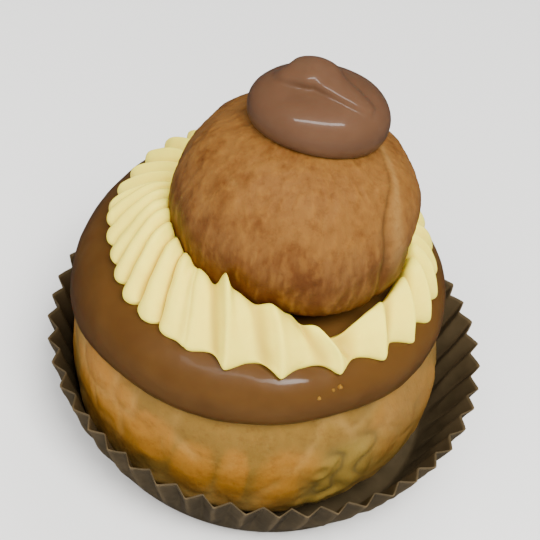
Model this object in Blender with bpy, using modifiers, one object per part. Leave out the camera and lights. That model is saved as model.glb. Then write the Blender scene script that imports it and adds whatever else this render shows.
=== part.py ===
"""A coffee religieuse: a small chou on a large one, both iced, with a piped cream
collar between them, standing in a pleated paper case.

Metres, +Z up, the origin on the ground under the middle of the paper case and the
front at -Y. Angles round the pastry are in degrees from +X, so -90 is the front.
"""
import math

import bmesh
import bpy

MM = 0.001
JOIN = 0.00001                      # merge distance of the turned shapes
GAP = 0.55 * MM                     # air between neighbouring pieces

# The paper case, whose middle is the origin
CASE_HEIGHT = 18.0 * MM
CASE_FLOOR_RADIUS = 34.6 * MM
CASE_RIM_RADIUS = 41.8 * MM
CASE_PAPER = 0.5 * MM
CASE_PLEATS = 48
PLEAT_DEPTH = 1.0 * MM

# Where the axis of each piece stands, measured from the case's middle
PASTRY = (-4.0 * MM, -2.2 * MM)
COLLAR = (PASTRY[0] + 0.7 * MM, PASTRY[1])
HEAD_AXIS = (PASTRY[0] + 3.3 * MM, PASTRY[1] - 1.2 * MM)
CAP = (HEAD_AXIS[0] + 0.4 * MM, HEAD_AXIS[1] + 2.5 * MM)

# The large chou
BASE_RADIUS = 33.7 * MM
BASE_LOW = CASE_PAPER + 0.4 * MM
BASE_WIDEST = 20.0 * MM
BASE_TOP = 43.4 * MM
BASE_AROUND = 40

# Its icing, a dipped coat that ends in a rounded lip
ICING_RADIUS = 34.2 * MM
ICING_TOP = 46.4 * MM
LIP_HEIGHT = 32.2 * MM
LIP_ROUND = 3.6 * MM
LIP_SAG = 5.0 * MM
LIP_SAG_AT = -168.0
LIP_SAG_WIDTH = 34.0

# The piped collar
LOBE_TURN = 9.5                     # degrees that a lobe takes, and how many more in front
WIDE_LOBE_TURN = 10.0
WIDE_LOBES_AT = -72.0
COLLAR_PER_LOBE = 5
COLLAR_RADIUS = 28.8 * MM
COLLAR_TIP = 1.9 * MM
COLLAR_TOP = 50.8 * MM
COLLAR_CLIMB = 3.0 * MM             # how much higher the cream climbs the small chou's left
COLLAR_GROOVE = 1.3 * MM
COLLAR_TIP_RISE = 2.6 * MM
JOIN_AT = -57.0
JOIN_DEPTH = 4.2 * MM
JOIN_WIDTH = 7.0

# The small chou
HEAD_RADIUS = 21.3 * MM
HEAD_LOW = 46.4 * MM + GAP
HEAD_WIDEST = 57.0 * MM
HEAD_TOP = 74.8 * MM
HEAD_AROUND = 36
CLEFT_AT = -36.0
CLEFT_WIDTH = 6.0
CLEFT_DEPTH = 0.045
LOBE_AT = 2.0
LOBE_RISE = 0.055
CREASE_DEPTH = 0.05

# Its icing, a flattened drop whose tail is folded over the top
CAP_HALF_WIDTH = 12.05 * MM
CAP_HALF_DEPTH = 9.9 * MM
CAP_WIDEST = 75.9 * MM
CAP_TILT = 0.6 * MM                 # its widest line is so much higher in front, lower behind
CAP_TOP = 82.0 * MM
CAP_POWER = 2.3
CAP_FOOT_SHARE = 0.80
CAP_AROUND = 36
TAIL = ((-7.6 * MM, 5.0 * MM), (-3.6 * MM, 4.0 * MM), (0.2 * MM, 2.6 * MM), (8.2 * MM, 0.9 * MM))
TAIL_HALF_WIDTH = 3.2 * MM
TAIL_RISE = 2.4 * MM

# Colours and finish: red, green, blue and roughness
CRUST_FINISH = ((0.56, 0.27, 0.07), 0.62)
ICING_FINISH = ((0.24, 0.105, 0.035), 0.28)
CREAM_FINISH = ((0.86, 0.76, 0.46), 0.5)
PAPER_FINISH = ((0.035, 0.018, 0.01), 0.55)


class Bun:
    """A round bun: flat or full below its widest height, domed above it."""

    def __init__(self, radius, low, widest, top, low_power, top_power, swell):
        self.radius = radius
        self.low = low
        self.widest = widest
        self.top = top
        self.low_power = low_power
        self.top_power = top_power
        self.swell = swell

    def plain_radius(self, height):
        """The radius at a height, before the crust swells."""
        upper = height > self.widest
        span = self.top - self.widest if upper else self.widest - self.low
        power = self.top_power if upper else self.low_power
        share = min(abs(height - self.widest) / span, 1.0)
        return self.radius * (1.0 - share ** power) ** (1.0 / power)

    def height(self, radius):
        """The height of the upper side at a distance from the axis."""
        share = min(radius / self.radius, 1.0)
        rise = (1.0 - share ** self.top_power) ** (1.0 / self.top_power)
        return self.widest + (self.top - self.widest) * rise

    def wall(self, azimuth, height):
        """The radius at a height and an angle, with the crust's swelling."""
        return self.plain_radius(height) * (1.0 + self.swell(azimuth, height))

    def upper_heights(self, steps, end=None):
        """Heights from the top down to the widest, or to an end above it, evenly over the curve."""
        power = self.top_power
        rise = self.top - self.widest
        share = (end - self.widest) / rise if end else 0.0
        last = math.asin(max(share, 0.0) ** (0.5 * power))
        spread = [0.5 * math.pi + (last - 0.5 * math.pi) * step / steps for step in range(steps + 1)]
        return [self.widest + rise * math.sin(a) ** (2.0 / power) for a in spread]

    def lower_heights(self, steps):
        """Heights from below the widest down to the bottom."""
        power = self.low_power
        spread = [math.radians(90.0 * step / steps) for step in range(1, steps + 1)]
        return [self.widest - (self.widest - self.low) * math.sin(a) ** (2.0 / power) for a in spread]

    def grown(self, air):
        """The same bun with air round it, as the inside of what coats it."""
        return Bun(self.radius + air, self.low - air, self.widest, self.top + air,
                   self.low_power, self.top_power, self.swell)


def wave(azimuth, count, peak):
    """A wave with so many crests round the pastry and one of them at the peak angle."""
    return math.cos(math.radians(count * (azimuth - peak)))


def angle_between(azimuth, other):
    """The signed difference of two angles, from -180 to 180."""
    return (azimuth - other + 180.0) % 360.0 - 180.0


def bump(azimuth, peak, width):
    """A smooth bump of height 1 at an angle."""
    return math.exp(-(angle_between(azimuth, peak) / width) ** 2)


def base_swell(azimuth, height):
    """The large chou is oval and lumpy, drawn in at its lower left and full at the right."""
    share = (height - BASE_LOW) / (BASE_TOP - BASE_LOW)
    lumps = 0.010 * wave(azimuth, 2, 20.0) + 0.009 * wave(azimuth, 5, -78.0) * (1.0 - share)
    drawn_in = 0.10 * bump(azimuth, 180.0, 60.0) * max(0.0, 0.7 - share)
    belly = max(0.0, 1.0 - ((share - 0.40) / 0.45) ** 2)
    fuller = (0.09 * bump(azimuth, -12.0, 32.0) + 0.035 * bump(azimuth, -45.0, 40.0)) * belly
    return lumps - drawn_in + fuller


def head_swell(azimuth, height):
    """The small chou has soft lumps, and a cleft beside a lobe that hangs over a crease."""
    share = (height - HEAD_LOW) / (HEAD_TOP - HEAD_LOW)
    lumps = 0.014 * wave(azimuth, 3, -150.0) + 0.008 * wave(azimuth, 7, -70.0)
    middle = math.sin(math.pi * min(max(share, 0.0), 1.0))
    cleft = CLEFT_DEPTH * bump(azimuth, CLEFT_AT, CLEFT_WIDTH) * middle
    lobe = LOBE_RISE * bump(azimuth, LOBE_AT, 26.0) * math.exp(-((share - 0.66) / 0.20) ** 2)
    crease = CREASE_DEPTH * bump(azimuth, LOBE_AT + 8.0, 24.0) * math.exp(-((share - 0.37) / 0.09) ** 2)
    return lumps - cleft + lobe - crease


BASE = Bun(BASE_RADIUS, BASE_LOW, BASE_WIDEST, BASE_TOP, 4.0, 3.2, base_swell)
HEAD = Bun(HEAD_RADIUS, HEAD_LOW, HEAD_WIDEST, HEAD_TOP, 4.5, 2.15, head_swell)


def lip_height(azimuth):
    """The icing's lip, which sags at the left and rises a little at the right."""
    sag = LIP_SAG * bump(azimuth, LIP_SAG_AT, LIP_SAG_WIDTH)
    return LIP_HEIGHT - sag + 0.9 * MM * wave(azimuth, 1, -40.0) + 0.6 * MM * wave(azimuth, 4, 30.0)


def icing_coat(azimuth):
    """The outside of the large chou's icing above its lip, at one angle."""
    lip = lip_height(azimuth)
    return Bun(ICING_RADIUS, lip, lip + LIP_ROUND, ICING_TOP, 2.0, 2.7, base_swell)


def point(axis, azimuth, radius, height):
    """The place at an angle, a radius and a height round an upright axis."""
    turn = math.radians(azimuth)
    return (axis[0] + radius * math.cos(turn), axis[1] + radius * math.sin(turn), height)


def add_object(name, mesh, collection, finish):
    colour, roughness = finish
    material = bpy.data.materials.new(name)
    material.use_nodes = True
    shader = material.node_tree.nodes["Principled BSDF"]
    shader.inputs["Base Color"].default_value = (*colour, 1.0)
    shader.inputs["Roughness"].default_value = roughness
    mesh.materials.append(material)
    mesh.shade_smooth()
    mesh.set_sharp_from_angle(angle=math.radians(50.0))
    thing = bpy.data.objects.new(name, mesh)
    collection.objects.link(thing)
    return thing


def turned_mesh(name, profile, steps):
    """A profile of (radius, height) points, from top to bottom, turned by a Screw modifier."""
    mesh = bpy.data.meshes.new(name)
    edges = [(index, index + 1) for index in range(len(profile) - 1)]
    mesh.from_pydata([(radius, 0.0, height) for radius, height in profile], edges, [])
    thing = bpy.data.objects.new(name, mesh)
    bpy.context.scene.collection.objects.link(thing)
    screw = thing.modifiers.new("turn", "SCREW")
    screw.steps = steps
    screw.render_steps = steps
    screw.use_merge_vertices = True
    screw.merge_threshold = JOIN
    bpy.context.view_layer.update()
    turned = bpy.data.meshes.new_from_object(thing.evaluated_get(bpy.context.evaluated_depsgraph_get()))
    bpy.data.objects.remove(thing)
    turned.name = name
    return turned


def lofted_mesh(name, rings, first_pole=None, last_pole=None):
    """A closed skin over rings of points: poles close its ends, or it runs on to its start."""
    shape = bmesh.new()
    rows = [[shape.verts.new(spot) for spot in ring] for ring in rings]
    around = len(rows[0])
    following = rows[1:] if first_pole else rows[1:] + rows[:1]
    for row, after in zip(rows, following):
        for index in range(around):
            beside = (index + 1) % around
            shape.faces.new((row[index], row[beside], after[beside], after[index]))
    for pole, row in ((first_pole, rows[0]), (last_pole, rows[-1])):
        if pole:
            tip = shape.verts.new(pole)
            for index in range(around):
                shape.faces.new((row[index], row[(index + 1) % around], tip))
    bmesh.ops.recalc_face_normals(shape, faces=shape.faces)
    mesh = bpy.data.meshes.new(name)
    shape.to_mesh(mesh)
    shape.free()
    return mesh


def crust_mesh(name, bun, steps, upper, lower, axis):
    """A chou: its turned profile, swollen by its own rule and set in its place."""
    heights = bun.upper_heights(upper) + bun.lower_heights(lower)
    profile = [(bun.plain_radius(height), height) for height in heights]
    mesh = turned_mesh(name, profile, steps)
    for vertex in mesh.vertices:
        x, y, height = vertex.co
        azimuth = math.degrees(math.atan2(y, x))
        radius = math.hypot(x, y)
        vertex.co = point(axis, azimuth, radius * (1.0 + bun.swell(azimuth, height)), height)
    return mesh


def coat_section(azimuth, outside, lip_low, lip_round, bun, upper):
    """One radial cut through a coat of icing, as (radius, height) from the outer top inwards."""
    inside = bun.grown(GAP)
    cut = [(outside.wall(azimuth, height), height) for height in outside.upper_heights(8)[1:]]
    brim = outside.wall(azimuth, outside.widest)
    for fall in (35.0, 70.0, 110.0):
        turn = math.radians(fall)
        height = lip_low + lip_round * (1.0 - math.sin(turn))
        seat = inside.wall(azimuth, height)
        cut.append((seat + (brim - seat) * (0.5 + 0.5 * math.cos(turn)), height))
    rows_down = inside.upper_heights(upper, lip_low + 0.35 * lip_round)[1:]
    cut += [(inside.wall(azimuth, height), height) for height in reversed(rows_down)]
    return cut


def make_base_chou(collection):
    mesh = crust_mesh("base_chou", BASE, BASE_AROUND, 12, 7, PASTRY)
    return add_object("base_chou", mesh, collection, CRUST_FINISH)


def make_base_icing(collection):
    """The coat over the large chou's top, with its rounded, sagging lip."""
    sections = []
    for step in range(BASE_AROUND):
        azimuth = 360.0 * step / BASE_AROUND
        coat = icing_coat(azimuth)
        cut = coat_section(azimuth, coat, lip_height(azimuth), LIP_ROUND, BASE, 11)
        sections.append([point(PASTRY, azimuth, radius, height) for radius, height in cut])
    rings = list(zip(*sections))
    outer_top = (*PASTRY, ICING_TOP)
    inner_top = (*PASTRY, BASE_TOP + GAP)
    mesh = lofted_mesh("base_icing", rings, outer_top, inner_top)
    return add_object("base_icing", mesh, collection, ICING_FINISH)


def lobe_turn(azimuth):
    """How many degrees a lobe takes at an angle: the lobes are widest in front."""
    return LOBE_TURN + WIDE_LOBE_TURN * bump(azimuth, WIDE_LOBES_AT, 38.0)


def collar_turns():
    """The collar's cuts, evenly spread over its lobes: the angle of each, and its lobes so far."""
    step = 0.25
    counts = [0.0]
    while len(counts) * step <= 360.0:
        middle = JOIN_AT + step * (len(counts) - 0.5)
        counts.append(counts[-1] + step / lobe_turn(middle))
    lobes = round(counts[-1])
    turns = []
    index = 0
    for cut in range(lobes * COLLAR_PER_LOBE):
        lobe = cut / COLLAR_PER_LOBE
        wanted = lobe * counts[-1] / lobes
        while counts[index + 1] < wanted:
            index += 1
        part = (wanted - counts[index]) / (counts[index + 1] - counts[index])
        turns.append((JOIN_AT + step * (index + part), lobe))
    return turns


def head_reach(azimuth, height):
    """How far the small chou's side is from the collar's axis, with air."""
    turn = math.radians(azimuth)
    offset_x = HEAD_AXIS[0] - COLLAR[0]
    offset_y = HEAD_AXIS[1] - COLLAR[1]
    along = offset_x * math.cos(turn) + offset_y * math.sin(turn)
    radius = HEAD.plain_radius(height) * 1.035 + GAP
    return along + math.sqrt(radius ** 2 - offset_x ** 2 - offset_y ** 2 + along ** 2)


def icing_surface(azimuth, radius):
    """The height of the large chou's icing at a distance from the collar's axis."""
    x, y, _ = point((COLLAR[0] - PASTRY[0], COLLAR[1] - PASTRY[1]), azimuth, radius, 0.0)
    own_azimuth = math.degrees(math.atan2(y, x))
    own_radius = math.hypot(x, y) / (1.0 + base_swell(own_azimuth, ICING_TOP))
    return icing_coat(own_azimuth).height(own_radius)


def collar_section(azimuth, lobe):
    """One radial cut through the piped collar, as (radius, height), bottom first."""
    ridge = abs(math.sin(math.pi * lobe))
    join = bump(azimuth, JOIN_AT, JOIN_WIDTH)
    climb = COLLAR_CLIMB * bump(azimuth, -135.0, 46.0)
    groove = COLLAR_GROOVE * (1.0 - ridge)
    outer = COLLAR_RADIUS + COLLAR_TIP * ridge
    top = COLLAR_TOP + climb - groove - 1.2 * MM * join
    inner = head_reach(azimuth, HEAD_LOW + 1.6 * MM) + JOIN_DEPTH * join
    brim = head_reach(azimuth, top) + JOIN_DEPTH * join
    foot = outer - 2.6 * MM
    middle = 0.5 * (inner + foot)
    return [
        (inner, icing_surface(azimuth, inner) + GAP),
        (middle, icing_surface(azimuth, middle) + GAP),
        (foot, icing_surface(azimuth, foot) + GAP),
        (outer, icing_surface(azimuth, outer) + COLLAR_TIP_RISE),
        (outer - 1.7 * MM, top - climb - 2.6 * MM),
        (outer - 5.0 * MM, top - 0.7 * climb),
        (brim + 0.6 * MM, top - 0.1 * MM),
        (brim - 0.4 * MM, top - 1.4 * MM),
    ]


def make_cream_collar(collection):
    """The ring of star-piped cream between the two choux."""
    sections = []
    for azimuth, lobe in collar_turns():
        cut = collar_section(azimuth, lobe)
        sections.append([point(COLLAR, azimuth, radius, height) for radius, height in cut])
    rings = list(zip(*sections))
    return add_object("cream_collar", lofted_mesh("cream_collar", rings), collection, CREAM_FINISH)


def make_head_chou(collection):
    mesh = crust_mesh("head_chou", HEAD, HEAD_AROUND, 9, 7, HEAD_AXIS)
    return add_object("head_chou", mesh, collection, CRUST_FINISH)


def tail_rise(x, y):
    """How much the folded tail lifts the cap's top at a place measured from its middle."""
    best = 0.0
    length = len(TAIL) - 1
    for index in range(length):
        (x0, y0), (x1, y1) = TAIL[index], TAIL[index + 1]
        run = (x1 - x0) ** 2 + (y1 - y0) ** 2
        share = min(max(((x - x0) * (x1 - x0) + (y - y0) * (y1 - y0)) / run, 0.0), 1.0)
        away = math.hypot(x - x0 - share * (x1 - x0), y - y0 - share * (y1 - y0))
        along = (index + share) / length
        height = TAIL_RISE * (1.0 - 0.55 * abs(along - 0.35) / 0.65)
        best = max(best, height * max(0.0, 1.0 - (away / TAIL_HALF_WIDTH) ** 2))
    return best


def cap_seat(x, y):
    """The height of the small chou's top, with air, at a place measured from the cap's middle."""
    from_head_x = x + CAP[0] - HEAD_AXIS[0]
    from_head_y = y + CAP[1] - HEAD_AXIS[1]
    azimuth = math.degrees(math.atan2(from_head_y, from_head_x))
    radius = math.hypot(from_head_x, from_head_y) / (1.0 + head_swell(azimuth, CAP_WIDEST) - 0.02)
    return HEAD.height(radius) + GAP


def cap_section(azimuth):
    """One radial cut through the small chou's icing, as (radius, height), outer top first."""
    turn = math.radians(azimuth)
    across = math.cos(turn)
    along = math.sin(turn)
    brim = 1.0 / math.hypot(across / CAP_HALF_WIDTH, along / CAP_HALF_DEPTH)
    widest = CAP_WIDEST - CAP_TILT * along
    dome = Bun(brim, 2.0 * widest - CAP_TOP, widest, CAP_TOP, 2.0, CAP_POWER, None)
    cut = []
    for height in dome.upper_heights(7)[1:]:
        radius = dome.plain_radius(height)
        cut.append((radius, height + tail_rise(radius * across, radius * along)))
    foot = CAP_FOOT_SHARE * brim
    low = cap_seat(foot * across, foot * along)
    for fall in (35.0, 70.0):
        bend = math.radians(fall)
        cut.append((foot + (brim - foot) * math.cos(bend), widest - (widest - low) * math.sin(bend)))
    for share in (1.0, 0.75, 0.5, 0.25):
        radius = share * foot
        cut.append((radius, cap_seat(radius * across, radius * along)))
    return cut


def make_head_icing(collection):
    """The cap of icing with its folded tail."""
    sections = []
    for step in range(CAP_AROUND):
        azimuth = 360.0 * step / CAP_AROUND
        sections.append([point(CAP, azimuth, radius, height) for radius, height in cap_section(azimuth)])
    rings = list(zip(*sections))
    outer_top = (*CAP, CAP_TOP + tail_rise(0.0, 0.0))
    inner_top = (*CAP, cap_seat(0.0, 0.0))
    mesh = lofted_mesh("head_icing", rings, outer_top, inner_top)
    return add_object("head_icing", mesh, collection, ICING_FINISH)


def make_paper_case(collection):
    """A pleated cup: a turned sheet whose wall is pushed into pleats and given its thickness."""
    wall_rows = 4
    profile = []
    for row in range(wall_rows + 1):
        share = 1.0 - row / wall_rows
        flare = CASE_FLOOR_RADIUS + (CASE_RIM_RADIUS - CASE_FLOOR_RADIUS) * share ** 0.85
        profile.append((flare, CASE_HEIGHT * share))
    profile += [(0.55 * CASE_FLOOR_RADIUS, 0.0), (0.0, 0.0)]
    mesh = turned_mesh("paper_case", profile, 2 * CASE_PLEATS)
    for vertex in mesh.vertices:
        x, y, height = vertex.co
        azimuth = math.degrees(math.atan2(y, x))
        pleat = PLEAT_DEPTH * wave(azimuth, CASE_PLEATS, 0.0) * height / CASE_HEIGHT
        vertex.co = point((0.0, 0.0), azimuth, math.hypot(x, y) + pleat, height)
    case = add_object("paper_case", mesh, collection, PAPER_FINISH)
    paper = case.modifiers.new("paper", "SOLIDIFY")
    paper.thickness = CASE_PAPER
    paper.offset = -1.0
    return case


def main():
    for leftover in list(bpy.data.objects):
        bpy.data.objects.remove(leftover)
    collection = bpy.data.collections.new("religieuse")
    bpy.context.scene.collection.children.link(collection)
    make_paper_case(collection)
    make_base_chou(collection)
    make_base_icing(collection)
    make_cream_collar(collection)
    make_head_chou(collection)
    make_head_icing(collection)


main()
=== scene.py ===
"""The looks of a coffee religieuse: a small iced chou on a large one, a piped cream
collar between them, and the pleated paper case that they stand in.

Each piece is shaped in millimetres round its own upright axis, and is then seated in the
box of the solid that it stands for, so every size and place comes from the frame.
Angles round the pastry are in degrees from +X, and -90 is the front.
"""
import functools
import math

import bmesh
import bpy
import numpy as np
from mathutils import Matrix, Vector

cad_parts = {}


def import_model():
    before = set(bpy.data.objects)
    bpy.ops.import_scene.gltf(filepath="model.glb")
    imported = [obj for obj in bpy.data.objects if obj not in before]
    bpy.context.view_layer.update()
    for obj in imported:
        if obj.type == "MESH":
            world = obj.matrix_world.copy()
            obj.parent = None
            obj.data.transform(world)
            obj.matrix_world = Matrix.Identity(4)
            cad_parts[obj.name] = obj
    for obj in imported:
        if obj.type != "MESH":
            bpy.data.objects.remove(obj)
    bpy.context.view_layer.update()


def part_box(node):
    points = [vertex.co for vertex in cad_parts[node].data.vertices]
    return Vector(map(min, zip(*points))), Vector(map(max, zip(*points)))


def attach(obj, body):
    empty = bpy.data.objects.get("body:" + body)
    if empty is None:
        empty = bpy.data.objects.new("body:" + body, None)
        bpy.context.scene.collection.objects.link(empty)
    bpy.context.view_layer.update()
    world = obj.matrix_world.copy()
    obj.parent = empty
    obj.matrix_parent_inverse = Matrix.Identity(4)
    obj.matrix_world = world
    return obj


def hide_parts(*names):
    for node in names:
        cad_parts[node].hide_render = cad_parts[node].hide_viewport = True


MM = 0.001
CAMERA_LENS = 91.0
CAMERA_AIM = (-0.0022, -0.0022, 0.0375)
CAMERA_ELEVATION = 46.1
CAMERA_ROLL = 12.4
CAMERA_DISTANCE = 0.250
MIDDLE_HEIGHT = 0.041

# How finely the pieces are made: rows down the side, and steps round the axis
CRUST_GRID = (150, 420)
GLAZE_GRID = (80, 300)
HEAD_GRID = (120, 340)
COLLAR_ROWS = 60
LOBE_STEPS = 26
CASE_ROWS = 26
PLEAT_STEPS = 14


# ---------------------------------------------------------------- node trees

class Wire:
    """A value in a node tree. Arithmetic on wires adds Math nodes to the tree."""

    def __init__(self, tree, socket):
        self.tree = tree
        self.socket = socket

    def math(self, operation, *others):
        entries = dict(enumerate((self, *others)))
        return Wire(self.tree, add_node(self.tree, "ShaderNodeMath", entries, operation=operation).outputs[0])

    __add__ = functools.partialmethod(math, "ADD")
    __sub__ = functools.partialmethod(math, "SUBTRACT")
    __mul__ = functools.partialmethod(math, "MULTIPLY")
    __pow__ = functools.partialmethod(math, "POWER")

    def flipped(self):
        """One minus the value."""
        return self.math("MULTIPLY_ADD", -1.0, 1.0)

    def eased(self, low, high):
        """0 below low, 1 above high, and a smooth step between them."""
        node = add_node(self.tree, "ShaderNodeMapRange", {
            "Value": self, "From Min": low, "From Max": high}, interpolation_type="SMOOTHSTEP")
        return Wire(self.tree, node.outputs["Result"])


def plug(tree, value, entry):
    """Links a wire or a socket to an input, or sets the input's own value."""
    if isinstance(value, Wire):
        value = value.socket
    if isinstance(value, bpy.types.NodeSocket):
        tree.links.new(value, entry)
    else:
        entry.default_value = (*value, 1.0) if entry.type == "RGBA" else value


def add_node(tree, kind, entries=None, **settings):
    """A new node with its settings, and its inputs linked or set by name or number."""
    node = tree.nodes.new(kind)
    for name, value in settings.items():
        setattr(node, name, value)
    for name, value in (entries or {}).items():
        plug(tree, value, node.inputs[name])
    return node


def new_tree(name, family, inputs, outputs):
    """An empty node group: its tree, its inputs as wires by name, and its output node.

    A socket is given by its first value, or by its kind where it has none.
    """
    tree = bpy.data.node_groups.new(name, family)
    kinds = {float: "Float", int: "Int", tuple: "Color"}
    for side, sockets in (("INPUT", inputs), ("OUTPUT", outputs)):
        for label, value in sockets.items():
            kind = value if isinstance(value, str) else kinds[type(value)]
            socket = tree.interface.new_socket(label, in_out=side, socket_type="NodeSocket" + kind)
            if kind != value:
                socket.default_value = (*value, 1.0) if kind == "Color" else value
    start = tree.nodes.new("NodeGroupInput")
    wires = {item.name: Wire(tree, item) for item in start.outputs if item.name}
    return tree, wires, tree.nodes.new("NodeGroupOutput")


def shape_tree(name, sizes):
    """A Geometry Nodes tree with an input for each size: its tree, inputs, output and place."""
    tree, value, leave = new_tree(name, "GeometryNodeTree", {
        "Geometry": "Geometry", **sizes, "Material": "Material"}, {"Geometry": "Geometry"})
    return tree, value, leave, add_node(tree, "GeometryNodeInputPosition").outputs[0]


def noise(tree, place, size, detail=2.0, shift=0.0):
    """Soft noise from 0 to 1 whose features are about so large, in metres."""
    moved = add_node(tree, "ShaderNodeVectorMath", {
        0: place, 1: (shift, 0.37 * shift, -shift)}, operation="ADD")
    node = add_node(tree, "ShaderNodeTexNoise", {
        "Vector": moved.outputs[0], "Scale": size ** -1.0, "Detail": detail, "Roughness": 0.55})
    return Wire(tree, node.outputs[0])


def sway(tree, place, size, amount, detail=2.0, shift=0.0):
    """Soft noise that reaches as far as an amount to either side of nothing."""
    return (noise(tree, place, size, detail, shift) - 0.5) * 2.0 * amount


def stretched(tree, place, *factors):
    """A place with each of its coordinates multiplied."""
    return add_node(tree, "ShaderNodeVectorMath", {0: place, 1: factors}, operation="MULTIPLY").outputs[0]


def kept(tree, name, kind="FLOAT"):
    """A number or a vector that the mesh carries, read in a Geometry Nodes tree."""
    node = add_node(tree, "GeometryNodeInputNamedAttribute", {"Name": name}, data_type=kind)
    return Wire(tree, node.outputs["Attribute"])


def store(tree, geometry, name, value):
    """Keeps a value on the mesh under a name, for the material to read."""
    node = add_node(tree, "GeometryNodeStoreNamedAttribute", {
        "Geometry": geometry, "Name": name, "Value": value}, data_type="FLOAT", domain="POINT")
    return node.outputs["Geometry"]


def push(tree, geometry, distance, direction=None):
    """Moves the points by a distance along a direction, or else straight out of the surface."""
    if direction is None:
        direction = add_node(tree, "GeometryNodeInputNormal").outputs[0]
    offset = add_node(tree, "ShaderNodeVectorMath", {0: direction, "Scale": distance}, operation="SCALE")
    node = add_node(tree, "GeometryNodeSetPosition", {"Geometry": geometry, "Offset": offset.outputs[0]})
    return node.outputs["Geometry"]


def close_tree(tree, geometry, material, leave):
    """Ends a Geometry Nodes tree with real geometry and its material."""
    real = add_node(tree, "GeometryNodeRealizeInstances", {"Geometry": geometry})
    painted = add_node(tree, "GeometryNodeSetMaterial", {
        "Geometry": real.outputs[0], "Material": material})
    plug(tree, painted.outputs[0], leave.inputs[0])
    return tree


# ---------------------------------------------------------------- pieces

def add_object(data):
    """Puts a mesh, a lamp or a lens into the scene under its own name."""
    thing = bpy.data.objects.new(data.name, data)
    bpy.context.scene.collection.objects.link(thing)
    return thing


def run_tree(piece, tree, material, values):
    """Works a Geometry Nodes tree on a piece, its inputs set by socket identifier."""
    modifier = piece.modifiers.new(tree.name, "NODES")
    modifier.node_group = tree
    values = {**values, "Material": material}
    for item in tree.interface.items_tree:
        if item.in_out == "INPUT" and item.name in values:
            modifier[item.identifier] = values[item.name]
    return settle(piece)


def settle(piece):
    """Turns an object's modifiers into its plain mesh."""
    bpy.context.view_layer.update()
    evaluated = piece.evaluated_get(bpy.context.evaluated_depsgraph_get())
    mesh = bpy.data.meshes.new_from_object(evaluated)
    mesh.name = piece.name
    piece.modifiers.clear()
    piece.data = mesh
    return piece


def soften(piece, rounds):
    """Smooths a piece so many times over, after the modifiers that it has."""
    modifier = piece.modifiers.new("soften", "SMOOTH")
    modifier.factor = 0.5
    modifier.iterations = rounds
    return settle(piece)


# ---------------------------------------------------------------- shapes

def wave(azimuth, count, peak):
    """A wave with so many crests round the axis and one of them at the peak angle."""
    return np.cos(np.radians(count * (azimuth - peak)))


def angle_between(azimuth, other):
    return (azimuth - other + 180.0) % 360.0 - 180.0


def bump(azimuth, peak, width):
    """A smooth bump of height 1 at an angle."""
    return np.exp(-(angle_between(azimuth, peak) / width) ** 2)


def eased(value, low, high):
    """0 below low, 1 above high, and a smooth step between them."""
    share = np.clip((value - low) / (high - low), 0.0, 1.0)
    return share * share * (3.0 - 2.0 * share)


class Bun:
    """The outline of a round bun in millimetres: superellipses above and below its widest."""

    def __init__(self, radius, low, widest, top, low_power, top_power):
        self.radius, self.low, self.widest, self.top = radius, low, widest, top
        self.low_power, self.top_power = low_power, top_power

    def half(self, upper):
        """The height and the power of the upper half or the lower one."""
        span = np.where(upper, self.top - self.widest, self.widest - self.low)
        return span, np.where(upper, self.top_power, self.low_power)

    def reach(self, height):
        """The radius at a height."""
        span, power = self.half(height > self.widest)
        share = np.clip(np.abs(height - self.widest) / span, 0.0, 1.0)
        return self.radius * (1.0 - share ** power) ** (1.0 / power)

    def crown(self, radius):
        """The height of the upper side at a distance from the axis."""
        share = np.clip(radius / self.radius, 0.0, 1.0)
        rise = (1.0 - share ** self.top_power) ** (1.0 / self.top_power)
        return self.widest + (self.top - self.widest) * rise

    def outline(self, rows, end=-0.5 * math.pi):
        """Radii and heights from beside the top to an end, evenly spaced down the side."""
        turn = np.linspace(0.5 * math.pi, end, 3000)
        span, power = self.half(turn > 0.0)
        radius = self.radius * np.abs(np.cos(turn)) ** (2.0 / power)
        height = self.widest + span * np.sign(turn) * np.abs(np.sin(turn)) ** (2.0 / power)
        length = np.concatenate(([0.0], np.cumsum(np.hypot(np.diff(radius), np.diff(height)))))
        spread = np.linspace(0.0, length[-1], rows + 2)[1:-1]
        return np.interp(spread, length, radius), np.interp(spread, length, height)


BASE = Bun(33.7, 0.9, 20.0, 43.4, 5.5, 3.2)
HEAD = Bun(21.3, 46.95, 57.0, 74.8, 4.5, 2.15)
HEAD_FROM_AXIS = (3.3, -1.2)


def soft_step(before, here, after, beyond, t):
    """A soft curve from one point to the next, with t from 0 to 1, given the points around them."""
    return 0.5 * (2.0 * here + (after - before) * t
                  + (2.0 * before - 5.0 * here + 4.0 * after - beyond) * t ** 2
                  + (3.0 * here - before - 3.0 * after + beyond) * t ** 3)


def soft_loop(corners, rows):
    """Soft closed curves through the corner points of many cuts at once."""
    spot = np.linspace(0.0, len(corners), rows, endpoint=False)
    index = spot.astype(int)
    four = (corners[(index + shift) % len(corners)] for shift in (-1, 0, 1, 2))
    return soft_step(*four, (spot - index)[:, None, None])


def soft_line(values, spot):
    """A soft line through values at whole-number places."""
    index = np.clip(spot.astype(int), 0, len(values) - 2)
    padded = np.concatenate(([2.0 * values[0] - values[1]], values, [2.0 * values[-1] - values[-2]]))
    return soft_step(*(padded[index + shift] for shift in range(4)), spot - index)


def around(steps):
    """Angles evenly spaced round the axis."""
    return np.arange(steps) * 360.0 / steps


def spin(azimuth, radius, height):
    """Points from angles, radii and heights, as rows by steps."""
    turn = np.radians(azimuth)
    return np.stack(np.broadcast_arrays(radius * np.cos(turn), radius * np.sin(turn), height), axis=-1)


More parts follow.
